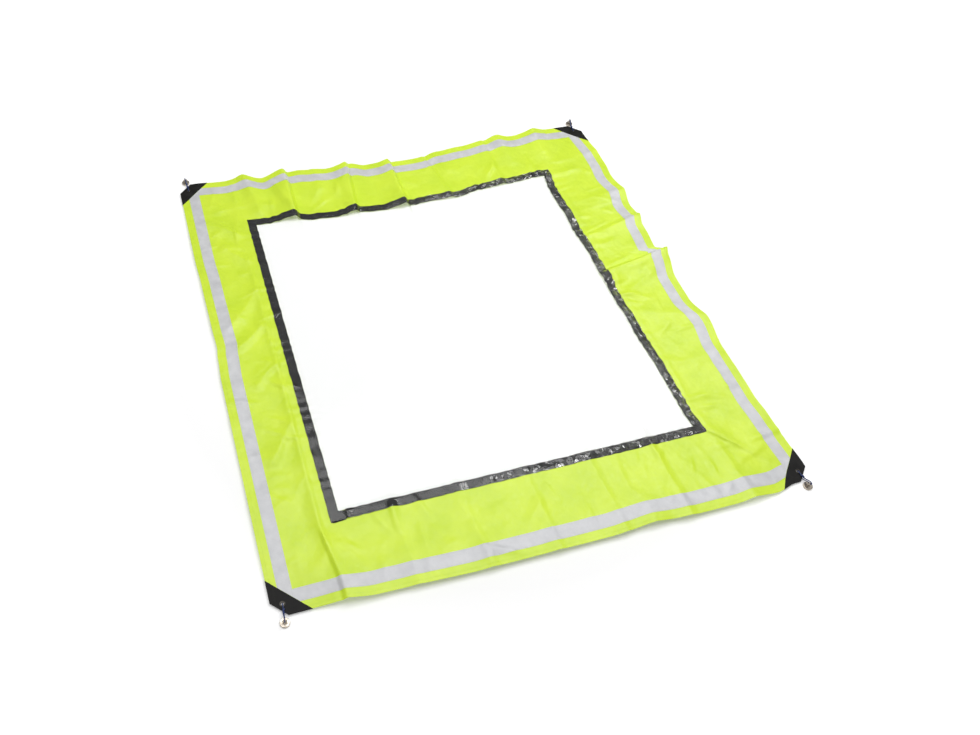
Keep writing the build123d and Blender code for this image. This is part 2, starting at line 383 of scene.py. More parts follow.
def tube(path, radius, sides, relief):
    """Points and faces of a closed tube round a path. relief(turn, distance) adds to its radius."""
    normals, binormals = frames_along(path)
    steps = np.linalg.norm(np.diff(path, axis=0), axis=1)
    distance = np.concatenate([[0.0], np.cumsum(steps)])
    turn = np.arange(sides) * 2 * pi / sides
    grow = radius + relief(turn[None, :], distance[:, None])
    ring = np.cos(turn)[None, :, None] * normals[:, None] + np.sin(turn)[None, :, None] * binormals[:, None]
    points = (path[:, None] + ring * grow[..., None]).reshape(-1, 3)
    faces = []
    for i in range(len(path) - 1):
        for j in range(sides):
            k = (j + 1) % sides
            faces.append((i * sides + j, i * sides + k, (i + 1) * sides + k, (i + 1) * sides + j))
    faces.append(tuple(reversed(range(sides))))
    faces.append(tuple(range((len(path) - 1) * sides, len(path) * sides)))
    return points, faces


def joined(meshes):
    """Several meshes' points and faces as one mesh."""
    points, faces = [], []
    for part_points, part_faces in meshes:
        faces += [tuple(len(points) + i for i in face) for face in part_faces]
        points += [tuple(p) for p in part_points]
    return points, faces


# ---------------------------------------------------------------- cords and knots

cord_radius = 0.002
plait_rise = 0.00013        # how far the plaits stand up from the cord
plait_lay = 0.0052          # along the cord, a strand's whole turn

# The loop, as (along the tether, across it, up) from the floor under the eyelet: from the knot back
# over the eyelet, down through it, out under the sheet, through the eye, round its wire and back.
cord_route = [
    (0.0245, 0.0, 0.0150),
    (0.0100, 0.0010, 0.0134),
    (-0.0010, 0.0, 0.0132),
    (-0.0010, 0.0, 0.0022),
    (0.0160, -0.0020, 0.0023),
    (0.0350, -0.0010, 0.0022),
    (0.0560, 0.0, 0.0215),
    (0.0705, 0.0, 0.0215),
    (0.0705, 0.0, 0.0325),
    (0.0570, 0.0005, 0.0310),
    (0.0440, 0.0015, 0.0199),
    (0.0315, 0.0, 0.0158),
]
knot_centre = (0.028, 0.0, 0.0154)


def tether_frame(side, end):
    """One corner's own axes: along its tether, across it and up, from the floor under the eyelet."""
    low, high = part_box(f"{corner_name(side, end)}_pot")
    pot_centre = (low + high) / 2
    origin = Vector((side * eyelet_u, end * eyelet_v, 0))
    along = (Vector((pot_centre.x, pot_centre.y, 0)) - origin).normalized()
    across = Vector((0, 0, 1)).cross(along) * side * end
    place = Matrix((along, across, Vector((0, 0, 1)))).transposed().to_4x4()
    place.translation = origin
    return place


def corner_name(side, end):
    """The name of the corner on this side and at this end."""
    return next(name for name, s, e in corners if (s, e) == (side, end))


def smooth_line(control, resolution=24):
    """Points along the smooth NURBS line that has these control points."""
    data = bpy.data.curves.new("route", "CURVE")
    data.dimensions = "3D"
    data.resolution_u = resolution
    spline = data.splines.new("NURBS")
    spline.points.add(len(control) - 1)
    for point, place in zip(spline.points, control):
        point.co = (*place, 1)
    spline.order_u = 3
    spline.use_endpoint_u = True
    holder = bpy.data.objects.new("route", data)
    bpy.context.scene.collection.objects.link(holder)
    bpy.context.view_layer.update()
    read = bpy.data.meshes.new_from_object(holder)
    points = np.array([v.co for v in read.vertices], float)
    bpy.data.objects.remove(holder)
    bpy.data.meshes.remove(read)
    return points


def evenly(path, step):
    """The same line with points a step apart."""
    distance = np.concatenate([[0.0], np.cumsum(np.linalg.norm(np.diff(path, axis=0), axis=1))])
    places = np.linspace(0, distance[-1], ceil(distance[-1] / step) + 1)
    return np.stack([np.interp(places, distance, path[:, axis]) for axis in range(3)], axis=1)


def braid(turn, distance):
    """The plaits of a braided cord: two sets of crossing helices."""
    strands = 4
    one = np.cos(strands * turn + 2 * pi * distance / plait_lay)
    other = np.cos(strands * turn - 2 * pi * distance / plait_lay)
    return plait_rise * (np.maximum(one, other) - 0.6)


def fine_braid(turn, distance):
    """The same plaits, pulled tighter in the knot."""
    return 0.75 * braid(turn, distance)


def add_cord(name, side, end):
    """One corner's braided loop of cord and the barrel knot that closes it."""
    place = tether_frame(side, end)
    path = evenly(smooth_line([place @ Vector(p) for p in cord_route]), 0.0007)
    points, faces = tube(path, cord_radius - 0.00005, 24, braid)
    loop = add_object(f"{name}_loop", points, faces, navy_braid)
    knot = add_knot(name, place)
    for piece, node in ((loop, "cord"), (knot, "knot")):
        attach(piece, f"{name}_tether")
        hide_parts(f"{name}_{node}")


def add_knot(name, place):
    """A barrel knot: three close turns round the loop's two ends, with two short cut tails."""
    turns, reach, yarn = 3.1, 0.0027, 0.00165
    half_length = 0.0040
    steps = int(turns * 8)
    control = []
    for step in range(steps + 1):
        share = step / steps
        angle = 2 * pi * turns * share
        along = half_length * (2 * share - 1)
        control.append(Vector((along, reach * cos(angle), reach * sin(angle))))
    first_tail = [control[0] + Vector(v) for v in ((-0.0052, 0.0030, 0.0004), (-0.0022, 0.0015, -0.0004))]
    last_tail = [control[-1] + Vector(v) for v in ((0.0022, 0.0012, 0.0006), (0.0056, 0.0026, 0.0012))]
    centre = Vector(knot_centre)
    line = smooth_line([place @ (centre + p) for p in first_tail + control + last_tail], 6)
    points, faces = tube(evenly(line, 0.0006), yarn, 16, fine_braid)
    return add_object(f"{name}_barrel_knot", points, faces, navy_braid)


for name, side, end in corners:
    add_cord(name, side, end)


# ---------------------------------------------------------------- the draped surface

def ease(x, low, high):
    """0 at low, 1 at high and smooth in between, for a rising or a falling pair."""
    share = np.clip((x - low) / (high - low), 0, 1)
    return share * share * (3 - 2 * share)


def through(places, x):
    """A smooth line through (place, amount) pairs, level at each of them."""
    at, amount = np.array(places).T
    i = np.clip(np.searchsorted(at, x) - 1, 0, len(at) - 2)
    share = ease(x, at[i], at[i + 1])
    return amount[i] + (amount[i + 1] - amount[i]) * share


least_rounding = 0.002      # a ridge's top is rounded by this and by a share of its height
rounding_share = 0.2
slope_power = 1.6           # over 1, so that a ridge's sides are steepest at its top


def crease(u, v, start, end, heights, left, right, fade):
    """A peaked ridge over a line on the flat sheet: how high it stands at (u, v).

    heights are those at the line's two ends, left and right are how far its slopes reach on either
    hand, and fade is the share of the line over which each end rises.
    """
    along_u, along_v = end[0] - start[0], end[1] - start[1]
    length = np.hypot(along_u, along_v)
    along = ((u - start[0]) * along_u + (v - start[1]) * along_v) / length
    across = ((u - start[0]) * along_v - (v - start[1]) * along_u) / length
    reach = np.where(across > 0, right, left)
    rounding = least_rounding + rounding_share * max(heights)
    away = np.sqrt(across ** 2 + rounding ** 2) - rounding
    ends = ease(along, 0, fade * length) * ease(along, length, (1 - fade) * length)
    height = heights[0] + (heights[1] - heights[0]) * np.clip(along / length, 0, 1)
    return height * ends * np.clip(1 - away / reach, 0, 1) ** slope_power


# The sheet was packed in eight panels: a faint fold every eighth of its width, all a little left of even.
fold_pitch = 2 * half_width / 8
fold_offset = -0.014
fold_places = [(number - 3) * fold_pitch + fold_offset for number in range(7)]
front_fold_heights = [0.004, 0.006, 0.006, 0.006, 0.005, 0.007, 0.005]
ridge_fade = 0.2
crinkle_fade = 0.5

# Creases across the back border that rise slowly from the left and drop steeply on the right:
# where each meets the back edge and the band, and how high it stands at the edge.
back_creases = [
    (-0.562, -0.560, 0.036), (-0.243, -0.272, 0.028), (-0.028, -0.020, 0.034),
    (0.160, 0.226, 0.011), (0.505, 0.509, 0.009),
]

# Ridges that stand up out of the border: start, end, the heights there, and the reach to either hand.
standing_ridges = [
    ((-0.775, 1.20), (-0.690, 0.80), (0.030, 0.004), 0.085, 0.055),
    ((-0.650, 1.14), (-0.545, 0.80), (0.003, 0.010), 0.050, 0.030),
    ((-0.420, 1.20), (-0.400, 0.85), (0.014, 0.002), 0.110, 0.110),
    ((0.600, 1.20), (0.610, 0.85), (0.028, 0.003), 0.110, 0.080),
    ((0.810, 1.20), (0.800, 0.85), (0.028, 0.004), 0.075, 0.085),
    ((0.690, 0.066), (1.150, 0.151), (0.010, 0.044), 0.011, 0.130),
    ((0.740, 0.310), (1.140, 0.405), (0.008, 0.018), 0.022, 0.090),
    ((0.800, 0.560), (1.140, 0.580), (0.003, 0.014), 0.050, 0.110),
    ((0.850, 0.860), (1.140, 0.900), (0.002, 0.008), 0.060, 0.090),
    ((0.790, -0.070), (1.000, 0.040), (0.008, 0.005), 0.040, 0.070),
    ((0.800, -0.170), (1.140, -0.300), (0.006, 0.014), 0.100, 0.110),
    ((0.800, -0.480), (1.100, -0.470), (0.003, 0.005), 0.060, 0.060),
    ((0.745, -0.780), (1.020, -1.075), (0.009, 0.007), 0.110, 0.010),
    ((-1.040, 0.130), (-0.780, 0.400), (0.014, 0.006), 0.080, 0.050),
    ((-1.010, 0.030), (-0.810, 0.180), (0.012, 0.008), 0.060, 0.035),
    ((-0.960, -0.180), (-0.810, -0.040), (0.010, 0.006), 0.070, 0.035),
    ((-0.980, -0.560), (-0.800, -0.330), (0.012, 0.009), 0.090, 0.040),
    ((-0.960, -0.760), (-0.820, -0.600), (0.005, 0.005), 0.050, 0.040),
    ((-1.030, 0.850), (-0.800, 0.700), (0.009, 0.007), 0.030, 0.060),
    ((-0.960, 0.670), (-0.790, 0.520), (0.010, 0.007), 0.035, 0.060),
    ((-0.554, -0.790), (-0.564, -0.930), (0.008, 0.001), 0.030, 0.012),
    ((0.520, -0.790), (0.530, -0.940), (0.007, 0.001), 0.030, 0.012),
    ((-0.803, -1.30), (-0.822, -0.800), (0.022, 0.009), 0.012, 0.120),
    ((0.380, -1.20), (0.370, -0.950), (0.014, 0.002), 0.080, 0.070),
    ((0.820, -1.20), (0.800, -1.000), (0.009, 0.002), 0.060, 0.060),
]

# How far the borders are drawn out of line: (place along the border, distance) pairs.
back_edge_sag = [
    (-1.0, 0.0), (-0.85, 0.019), (-0.78, 0.011), (-0.67, 0.038), (-0.57, 0.024), (-0.49, 0.023),
    (-0.42, 0.040), (-0.28, 0.046), (-0.21, 0.034), (-0.14, 0.061), (-0.06, 0.074), (0.01, 0.068),
    (0.15, 0.074), (0.24, 0.044), (0.37, 0.033), (0.51, 0.020), (0.58, 0.007), (0.65, 0.020),
    (0.75, 0.006), (0.90, 0.0),
]
back_band_sag = [
    (-0.85, 0.0), (-0.67, 0.013), (-0.60, 0.010), (-0.46, 0.038), (-0.36, 0.046), (-0.26, 0.040),
    (-0.15, 0.052), (0.0, 0.053), (0.12, 0.044), (0.25, 0.048), (0.38, 0.022), (0.55, 0.012), (0.70, 0.0),
]
right_sway = [
    (-1.05, 0.0), (-0.90, -0.011), (-0.62, -0.018), (-0.46, -0.011), (-0.30, 0.008), (-0.16, -0.012),
    (-0.03, -0.018), (0.09, 0.004), (0.155, 0.022), (0.175, -0.018), (0.32, -0.006), (0.40, 0.014),
    (0.48, 0.004), (0.58, 0.014), (0.68, 0.002), (0.80, 0.009), (0.92, 0.006), (1.05, 0.0),
]
right_band_sway = [
    (-0.82, -0.003), (-0.60, -0.010), (-0.47, 0.0), (-0.30, -0.009), (-0.19, 0.001), (-0.03, -0.014),
    (0.07, -0.010), (0.20, -0.004), (0.34, -0.008), (0.47, 0.001), (0.60, -0.012), (0.80, -0.003),
]
left_draw = [
    (-0.10, 0.0), (0.02, 0.006), (0.08, 0.012), (0.20, 0.008), (0.45, 0.005), (0.60, 0.0), (1.05, 0.0),
]
front_swell = [
    (-0.95, 0.0), (-0.84, 0.001), (-0.70, 0.012), (-0.30, 0.022), (0.20, 0.023), (0.36, 0.014),
    (0.55, 0.023), (0.72, 0.023), (0.81, 0.018), (0.90, 0.020), (1.0, 0.0),
]

floor_gap = 0.0012          # the draped surface's least height over the floor
border_rise = 0.0085        # the border's edge stands this much higher
front_lift = 0.010          # and the front hem this much more
front_slip = 0.003          # which carries it this far forward
gather_rise = 0.0013        # the puckers beside the band
left_band_shift = 0.020     # how far out the left band lies from its place on the flat sheet
tallest = 0.044             # nothing stands higher than this
cull_margin = 0.012         # a crease is worked out this far past its slopes


def seeded_crinkles(count=150):
    """Short, random creases over the border: the same ones each run."""
    dice = np.random.RandomState(7)
    crinkles = []
    for _ in range(count):
        on_side = dice.rand() < 0.55
        far = dice.rand() * 2 - 1
        inset = dice.uniform(0.05, 0.30)
        hand = dice.choice([-1, 1])
        middle = (hand * (half_width - inset), far) if on_side else (far * 0.95, hand * (half_depth - inset))
        angle = (0.0 if on_side else pi / 2) + dice.normal(0, 0.55)
        reach = dice.uniform(0.04, 0.13)
        rise = dice.uniform(0.0015, 0.0070)
        width = dice.uniform(0.014, 0.045)
        low_rise = rise * dice.uniform(0.3, 1.0)
        far_width = width * dice.uniform(0.4, 1.2)
        tip = (reach * cos(angle), reach * sin(angle))
        start = (middle[0] - tip[0], middle[1] - tip[1])
        stop = (middle[0] + tip[0], middle[1] + tip[1])
        crinkles.append((start, stop, (rise, low_rise), width, far_width))
    return crinkles


def all_creases():
    """Every crease as the arguments of crease()."""
    for at_edge, at_band, stand in back_creases:
        lean = (at_edge - at_band) / (half_depth - band_inner[1])
        start = (at_band - 0.16 * lean, band_inner[1] - 0.16)
        end = (at_edge + 0.20 * lean, half_depth + 0.20)
        yield start, end, (0.75 * stand, stand), 0.105, 0.020, 0.30
    for at, stand in zip(fold_places, front_fold_heights):
        yield (at, -1.30), (at, -0.66), (stand, stand), 0.060, 0.030, 0.25
        yield (at, -0.70), (at, 0.70), (0.0022, 0.0022), 0.022, 0.022, 0.05
        yield (at, 0.75), (at, 1.20), (0.002, 0.002), 0.030, 0.020, 0.05
    yield (-0.822, -1.05), (-0.812, 0.60), (0.008, 0.005), 0.060, 0.018, 0.15
    for ridge in standing_ridges:
        yield *ridge, ridge_fade
    for crinkle in seeded_crinkles():
        yield *crinkle, crinkle_fade


creases = list(all_creases())


def front_share(u, v):
    """How much of the front hem's lift a place has: all along the hem, none at the corners."""
    return ease(v, -0.88, -1.10) * ease(np.abs(u), 0.98, 0.80)


def height_at(u, v):
    """How high the cloth's underside stands over the floor."""
    out_u, out_v = np.abs(u) - band_inner[0], np.abs(v) - band_inner[1]
    border = ease(np.maximum(out_u, out_v), -0.06, 0.10)
    height = floor_gap + border_rise * ease(np.maximum(out_u, out_v), 0.08, 0.30)
    height = height + front_lift * front_share(u, v)
    for start, end, heights, left, right, fade in creases:
        reach = max(left, right) + cull_margin
        beside = (u > min(start[0], end[0]) - reach) & (u < max(start[0], end[0]) + reach)
        beside &= (v > min(start[1], end[1]) - reach) & (v < max(start[1], end[1]) + reach)
        near = np.flatnonzero(beside)
        height[near] += crease(u[near], v[near], start, end, heights, left, right, fade)
    gather, share = gathers(u, v)[2:]
    height = height + border * undulation(u, v) + gather_rise * (share + gather)
    height = tallest * np.tanh((height / tallest) ** 3) ** (1 / 3)
    apart = np.hypot(np.abs(u) - eyelet_u, np.abs(v) - eyelet_v)
    held = ease(apart, 0.20, 0.055)     # the corners lie flat, at the height of their eyelets
    return height * (1 - held) + corner_height * held


def gathers(u, v):
    """The puckers where the band is sewn on: their draw in u and in v, their wave and where it runs."""
    out_u, out_v = np.abs(u) - band_outer[0], np.abs(v) - band_outer[1]
    on_side = out_u > out_v
    along = np.where(on_side, v, u)
    away = np.maximum(out_u, out_v)
    share = ease(away, 0.090, 0.004) * ease(away, -0.065, -0.030) * ease(np.abs(out_u - out_v), 0.0, 0.05)
    share = share * np.where(on_side, np.where(u > 0, 1.0, 0.7), np.where(v > 0, 0.9, 0.45))
    wave = np.sin(104 * along + 2.4 * np.sin(19 * along) + 9 * away)
    wave = wave * (0.6 + 0.4 * np.sin(37 * along + 0.5)) * share
    draw = 0.0020 * wave * ease(away, 0.060, 0.0)
    return np.where(on_side, draw, 0), np.where(on_side, 0, draw), wave, share


def undulation(u, v):
    """Low, uneven swells of the cloth between its creases, from crossing waves of several pitches."""
    waves = [(7.0, 3.0, 0.4, 0.0014), (-4.0, 9.0, 1.9, 0.0014), (13.0, -6.0, 2.6, 0.0010),
             (5.0, 17.0, 4.1, 0.0009), (21.0, 11.0, 5.0, 0.0006), (-15.0, 24.0, 0.9, 0.0006)]
    total = 0 * u
    for along_u, along_v, phase, size in waves:
        total = total + size * (1 - np.abs(np.sin(along_u * u + along_v * v + phase)))
    return total


def drape(u, v):
    """Where the underside of the cloth lies: the place in the frame of a place on the flat sheet."""
    move_u = through(right_sway, v) * ease(u, 0.70, 1.02)
    move_u = move_u + through(left_draw, v) * ease(u, -0.80, -1.0)
    by_left_band = ease(u, -0.95, -0.80) * ease(u, -0.45, -0.74) * ease(np.abs(v), 1.05, 0.80)
    move_u = move_u - left_band_shift * by_left_band
    wander = -0.004 + 0.004 * np.sin(9.0 * v + 0.7) + 0.003 * np.sin(21.0 * v + 2.0)
    wander = wander + through(right_band_sway, v) * ease(u, 0.95, 0.80)
    move_u = move_u + wander * ease(u, 0.60, 0.74) * ease(np.abs(v), 0.80, 0.70)
    edge_share = ease(v, 0.82, 1.10)
    sag = through(back_band_sag, u) * (1 - edge_share) + through(back_edge_sag, u) * edge_share
    move_v = -sag * ease(v, 0.20, 0.78)
    move_v = move_v - through(front_swell, u) * ease(v, -0.85, -1.12) - front_slip * front_share(u, v)
    draw_u, draw_v = gathers(u, v)[:2]
    return np.stack([u + move_u + draw_u, v + move_v + draw_v, height_at(u, v)], axis=1)


def laid(u, v, lift):
    """A point this far above the cloth's underside, square to it."""
    step = 0.001                        # the slopes are taken over twice this
    slope_u = drape(u + step, v) - drape(u - step, v)
    slope_v = drape(u, v + step) - drape(u, v - step)
    normal = np.cross(slope_u, slope_v)
    normal /= np.linalg.norm(normal, axis=1)[:, None]
    return drape(u, v) + normal * np.reshape(lift, (-1, 1))


# ---------------------------------------------------------------- layers of the sheet

def lattice(low, high, spacing):
    """Two ends and the whole multiples of the spacing between them, so that layers share their lines."""
    between = np.arange(ceil(low / spacing + 0.25), floor(high / spacing - 0.25) + 1) * spacing
    return np.concatenate([[low], between, [high]])


def flat_grid(outline, spacing, holes):
    """A regular grid cut to a convex outline, with a hole of a given radius at each eyelet."""
    outline = [Vector((*p, 0)) for p in outline]
    turning = sum((b.x - a.x) * (b.y + a.y) for a, b in zip(outline, outline[1:] + outline[:1]))
    if turning > 0:
        outline.reverse()
    low = [min(p[axis] for p in outline) for axis in (0, 1)]
    high = [max(p[axis] for p in outline) for axis in (0, 1)]
    across, along = (lattice(low[axis], high[axis], spacing) for axis in (0, 1))
    points = [(x, y, 0) for y in along for x in across]
    wide = len(across)
    faces = [(j * wide + i, j * wide + i + 1, (j + 1) * wide + i + 1, (j + 1) * wide + i)
             for j in range(len(along) - 1) for i in range(wide - 1)]
    data = bpy.data.meshes.new("flat")
    data.from_pydata(points, [], faces)
    grid = bmesh.new()
    grid.from_mesh(data)
    bpy.data.meshes.remove(data)
    for a, b in zip(outline, outline[1:] + outline[:1]):
        outward = Vector((b.y - a.y, a.x - b.x, 0))
        if abs(outward.x) < 1e-9 or abs(outward.y) < 1e-9:
            continue
        whole = grid.verts[:] + grid.edges[:] + grid.faces[:]
        bmesh.ops.bisect_plane(grid, geom=whole, dist=1e-5, plane_co=a, plane_no=outward, clear_outer=True)
    for centre_u, centre_v, radius in holes:
        centre = Vector((centre_u, centre_v, 0))
        inside = [p for p in grid.verts if (p.co - centre).length < radius]
        around = {n for p in inside for e in p.link_edges for n in e.verts}
        around |= {n for p in inside for f in p.link_faces for n in f.verts}
        around -= set(inside)
        bmesh.ops.delete(grid, geom=inside, context="VERTS")
        for p in around:
            if p.is_valid:
                p.co = centre + (p.co - centre).normalized() * radius
    grid.verts.index_update()
    flat = np.array([p.co[:2] for p in grid.verts])
    faces = [tuple(p.index for p in face.verts) for face in grid.faces]
    rims = [(e.link_loops[0].vert.index, e.link_loops[0].link_loop_next.vert.index)
            for e in grid.edges if e.is_boundary]
    grid.free()
    return flat, faces, rims


def add_layer(name, outlines, low, high, finish, spacing=0.006, holes=()):
    """A closed thin piece that follows the drape, from low to high above the cloth's underside.

    low and high give their heights for places on the flat sheet.
    """
    meshes, flats = [], []
    for outline in outlines:
        flat, faces, rims = flat_grid(outline, spacing, holes)
        u, v = flat.T
        bottom = laid(u, v, low(u, v))
        top = laid(u, v, high(u, v))
        count = len(flat)
        shell = [tuple(reversed(face)) for face in faces]
        shell += [tuple(i + count for i in face) for face in faces]
        shell += [(a, b, b + count, a + count) for a, b in rims]
        meshes.append((np.concatenate([bottom, top]), shell))
        flats.append(np.concatenate([np.c_[flat, 0 * u], np.c_[flat, 0 * u + 0.001]]))
    points, faces = joined(meshes)
    piece = add_object(name, points, faces, finish)
    place = piece.data.attributes.new("flat", "FLOAT_VECTOR", "POINT")
    place.data.foreach_set("vector", np.concatenate(flats).astype(np.float32).ravel())
    return piece


def across_fold(piece):
    """Bakes the piece's place into its points; the piece does not bend at the middle fold."""
    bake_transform(piece)


def from_edge(u, v):
    """How far a place is from the sheet's cut edge."""
    return np.minimum(half_width - np.abs(u), half_depth - np.abs(v))


hem_width = 0.018
hem_fold = 0.0005           # the extra thickness of the turned hem


def cloth_top(u, v):
    """The cloth's face, which stands a fold higher along the hem."""
    return cloth_thickness + hem_fold * ease(from_edge(u, v), hem_width + 0.002, hem_width)


def constant(value):
    """A height that is the same all over."""
    return lambda u, v: value + 0 * u


def above_cloth(value):
    """A height over the cloth's face."""
    return lambda u, v: cloth_top(u, v) + value


def panel_outline(side, end):
    """A side panel for side = -1 or 1, or an end panel for end = -1 or 1, mitred at both ends."""
    tip = tip_cut / 2
    if side:
        half = [(half_width, half_depth - tip_cut), (half_width - tip, half_depth - tip), band_inner]
        return [(side * x, y) for x, y in half] + [(side * x, -y) for x, y in reversed(half)]
    half = [(half_width - tip_cut, half_depth), (half_width - tip, half_depth - tip), band_inner]
    return [(x, end * y) for x, y in half] + [(-x, end * y) for x, y in reversed(half)]


eyelet_hole_radius = 0.0074          # round the eyelet's barrel and under its flange
eyelet_holes = [(side * eyelet_u, end * eyelet_v, eyelet_hole_radius) for name, side, end in corners]


def panel(name, side, end):
    """One of the border's four panels of cloth."""
    outline = panel_outline(side, end)
    return add_layer(name, [outline], constant(0.0), cloth_top, cloth, holes=eyelet_holes)


left_cloth = panel("left_border_cloth", -1, 0)
right_cloth = panel("right_border_cloth", 1, 0)
front_cloth = panel("front_border_cloth", 0, -1)
back_cloth = panel("back_border_cloth", 0, 1)


def side_tape(name, side):
    """The tape down one side, cut slantwise at the patches."""
    x_outer, x_inner = tape_outer[0], tape_inner[0]
    half = [(x_outer, patch_line - x_outer), (x_inner, patch_line - x_inner)]
    outline = [(side * x, y) for x, y in half] + [(side * x, -y) for x, y in reversed(half)]
    return add_layer(name, [outline], above_cloth(0), above_cloth(tape_thickness), tape)


def end_tape(name, end):
    """The tape along the front or back, which butts against the side tapes."""
    y_outer, y_inner = tape_outer[1], tape_inner[1]
    x_butt = tape_inner[0]
    half = [(patch_line - y_outer, y_outer), (x_butt, patch_line - x_butt), (x_butt, y_inner)]
    outline = [(x, end * y) for x, y in half] + [(-x, end * y) for x, y in reversed(half)]
    return add_layer(name, [outline], above_cloth(0), above_cloth(tape_thickness), tape)


left_tape = side_tape("left_silver_tape", -1)
right_tape = side_tape("right_silver_tape", 1)
front_tape = end_tape("front_silver_tape", -1)
back_tape = end_tape("back_silver_tape", 1)

film_gap = 0.00015
film_thickness = 0.0003
floor_clearance = 0.0004    # the film's underside over the draped surface, in the window


def film_looseness(u, v):
    """How far the film bulges from the band between its seams: a little on the left, most on the right."""
    return 0.0004 + 0.0042 * ease(u, -0.25, 0.75) + 0.0010 * ease(v, 0.70, 0.80)


def film_ruffle(u, v):
    """Short pleats of the slack film, across the band and between its two seams."""
    from_side, from_end = band_outer[0] - np.abs(u), band_outer[1] - np.abs(v)
    along = np.where(from_side < from_end, v, u)
    across = np.minimum(from_side, from_end)
    wave = np.sin(175 * along + 60 * across + 3.1 * np.sin(31 * along))
    pleats = 0.5 + 0.5 * wave * np.sin(47 * along + 1.3)
    bulge = np.sin(pi * np.clip((across - seam_margin) / (band_width - 2 * seam_margin), 0, 1))
    return film_looseness(u, v) * pleats * bulge * ease(np.abs(from_side - from_end), 0.0, 0.03)


# The left band's front end is folded into a short tab, and the front band's end laps over it.
tab_length = 0.030
tab_overhang = 0.005        # past the band's outer edge
tab_lap = 0.004             # how much of the tab the front band covers
tab_gap = 0.0035            # between the tab and the front band over it


def lap_rise(u, v):
    """How far the front band's end is lifted by the tab under it."""
    tab_end = tab_length - band_inner[0]
    return (band_thickness + tab_gap) * ease(u, tab_end + 0.030, tab_end) * (v < -band_inner[1] + 0.001)


def film_low(u, v):
    """The film's underside: on the bands and the tab, and down on the floor in the window."""
    inside = np.minimum(band_inner[0] - np.abs(u), band_inner[1] - np.abs(v))
    over_band = ease(inside, 0.012, 0.0)
    tab_end = tab_length - band_inner[0]
    step = cloth_thickness + band_thickness + film_gap
    step = step + lap_rise(u, v) * ease(u, tab_end - 0.010, tab_end - tab_lap)
    return floor_clearance + (step - floor_clearance) * over_band + film_ruffle(u, v)


def film_high(u, v):
    """The film's face."""
    return film_low(u, v) + film_thickness


def side_band(name, side):
    """The band down one side, which runs through one corner and butts at the other.

    The left one's front end is a short tab, cut by hand and a little uneven.
    """
    x_outer, x_inner = side * band_outer[0], side * band_inner[0]
    y_through, y_butt = side * band_outer[1], -side * band_inner[1]
    outlines = [[(x_outer, y_through), (x_outer, y_butt), (x_inner, y_butt), (x_inner, y_through)]]
    if side < 0:
        y_end, tab_end = y_through - tab_overhang, x_inner + tab_length
        outlines = [
            [(x_outer + 0.003, y_end + 0.001), (x_outer, y_through), (x_outer, y_butt), (x_inner, y_butt),
             (x_inner, y_end), (x_outer + 0.012, y_end - 0.002)],
            [(x_inner, y_end), (x_inner + 0.6 * tab_length, y_through - 0.003),
             (tab_end - 0.003, y_through + 0.004), (tab_end, y_through + 0.016),
             (tab_end - 0.002, -band_inner[1] - 0.002), (x_inner, -band_inner[1])],
        ]
    return add_layer(name, outlines, above_cloth(0), above_cloth(band_thickness), webbing)


def lapped_low(u, v):
    """The front band's underside, on the cloth and up on the tab."""
    return cloth_top(u, v) + lap_rise(u, v)


def lapped_high(u, v):
    """The front band's face."""
    return cloth_top(u, v) + lap_rise(u, v) + band_thickness


def end_band(name, end):
    """The band along the front or back, which runs through one corner and butts at the other."""
    y_outer, y_inner = end * band_outer[1], end * band_inner[1]
    x_through, x_butt = -end * band_outer[0], end * band_inner[0]
    low, high = above_cloth(0), above_cloth(band_thickness)
    if end < 0:
        x_butt += tab_length - tab_lap
        low, high = lapped_low, lapped_high
    outlines = [[(x_through, y_outer), (x_butt, y_outer), (x_butt, y_inner), (x_through, y_inner)]]
    return add_layer(name, outlines, low, high, webbing)


left_band = side_band("left_webbing", -1)
right_band = side_band("right_webbing", 1)
front_band = end_band("front_webbing", -1)
back_band = end_band("back_webbing", 1)

# The film, loose over the band and laid on the floor in the window.
film_outline = [(-band_outer[0], -band_outer[1]), (band_outer[0], -band_outer[1]), band_outer,
                (-band_outer[0], band_outer[1])]
film = add_layer("window_film", [film_outline], film_low, film_high, clear_film)


def patch(name, side, end, low, high):
    """A triangular corner patch with its tip cut off, wrapped a little over the cloth's edge."""
    wrap = 0.0008
    spacing = 0.003
    x_edge, y_edge = half_width + wrap, half_depth + wrap
    half = [(half_width - patch_leg, y_edge), (half_width - tip_cut, y_edge), (x_edge, half_depth - tip_cut)]
    outline = [(side * x, end * y) for x, y in [*half, (x_edge, half_depth - patch_leg)]]
    return add_layer(name, [outline], low, high, coated_cloth, spacing, eyelet_holes)


def patch_low(u, v):
    """The patch's underside: on the cloth, and down past the cloth's cut edge at the rim."""
    past_tip = np.abs(u) + np.abs(v) > half_width + half_depth - tip_cut + 1e-5
    return np.where((from_edge(u, v) < 0) | past_tip, -0.0002, cloth_top(u, v))


for name, side, end in corners:
    over = patch(f"{name}_corner_patch", side, end, patch_low, above_cloth(patch_thickness))
    under = patch(f"{name}_corner_backing", side, end, constant(-patch_thickness), constant(0))
    for piece, node in ((over, "patch"), (under, "patch_backing")):
        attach(piece, "left_half" if side < 0 else "right_half")
        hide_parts(f"{name}_{node}")


# ---------------------------------------------------------------- stitching

stitch_pitch = 0.0046
stitch_length = 0.0033
stitch_radius = 0.00042


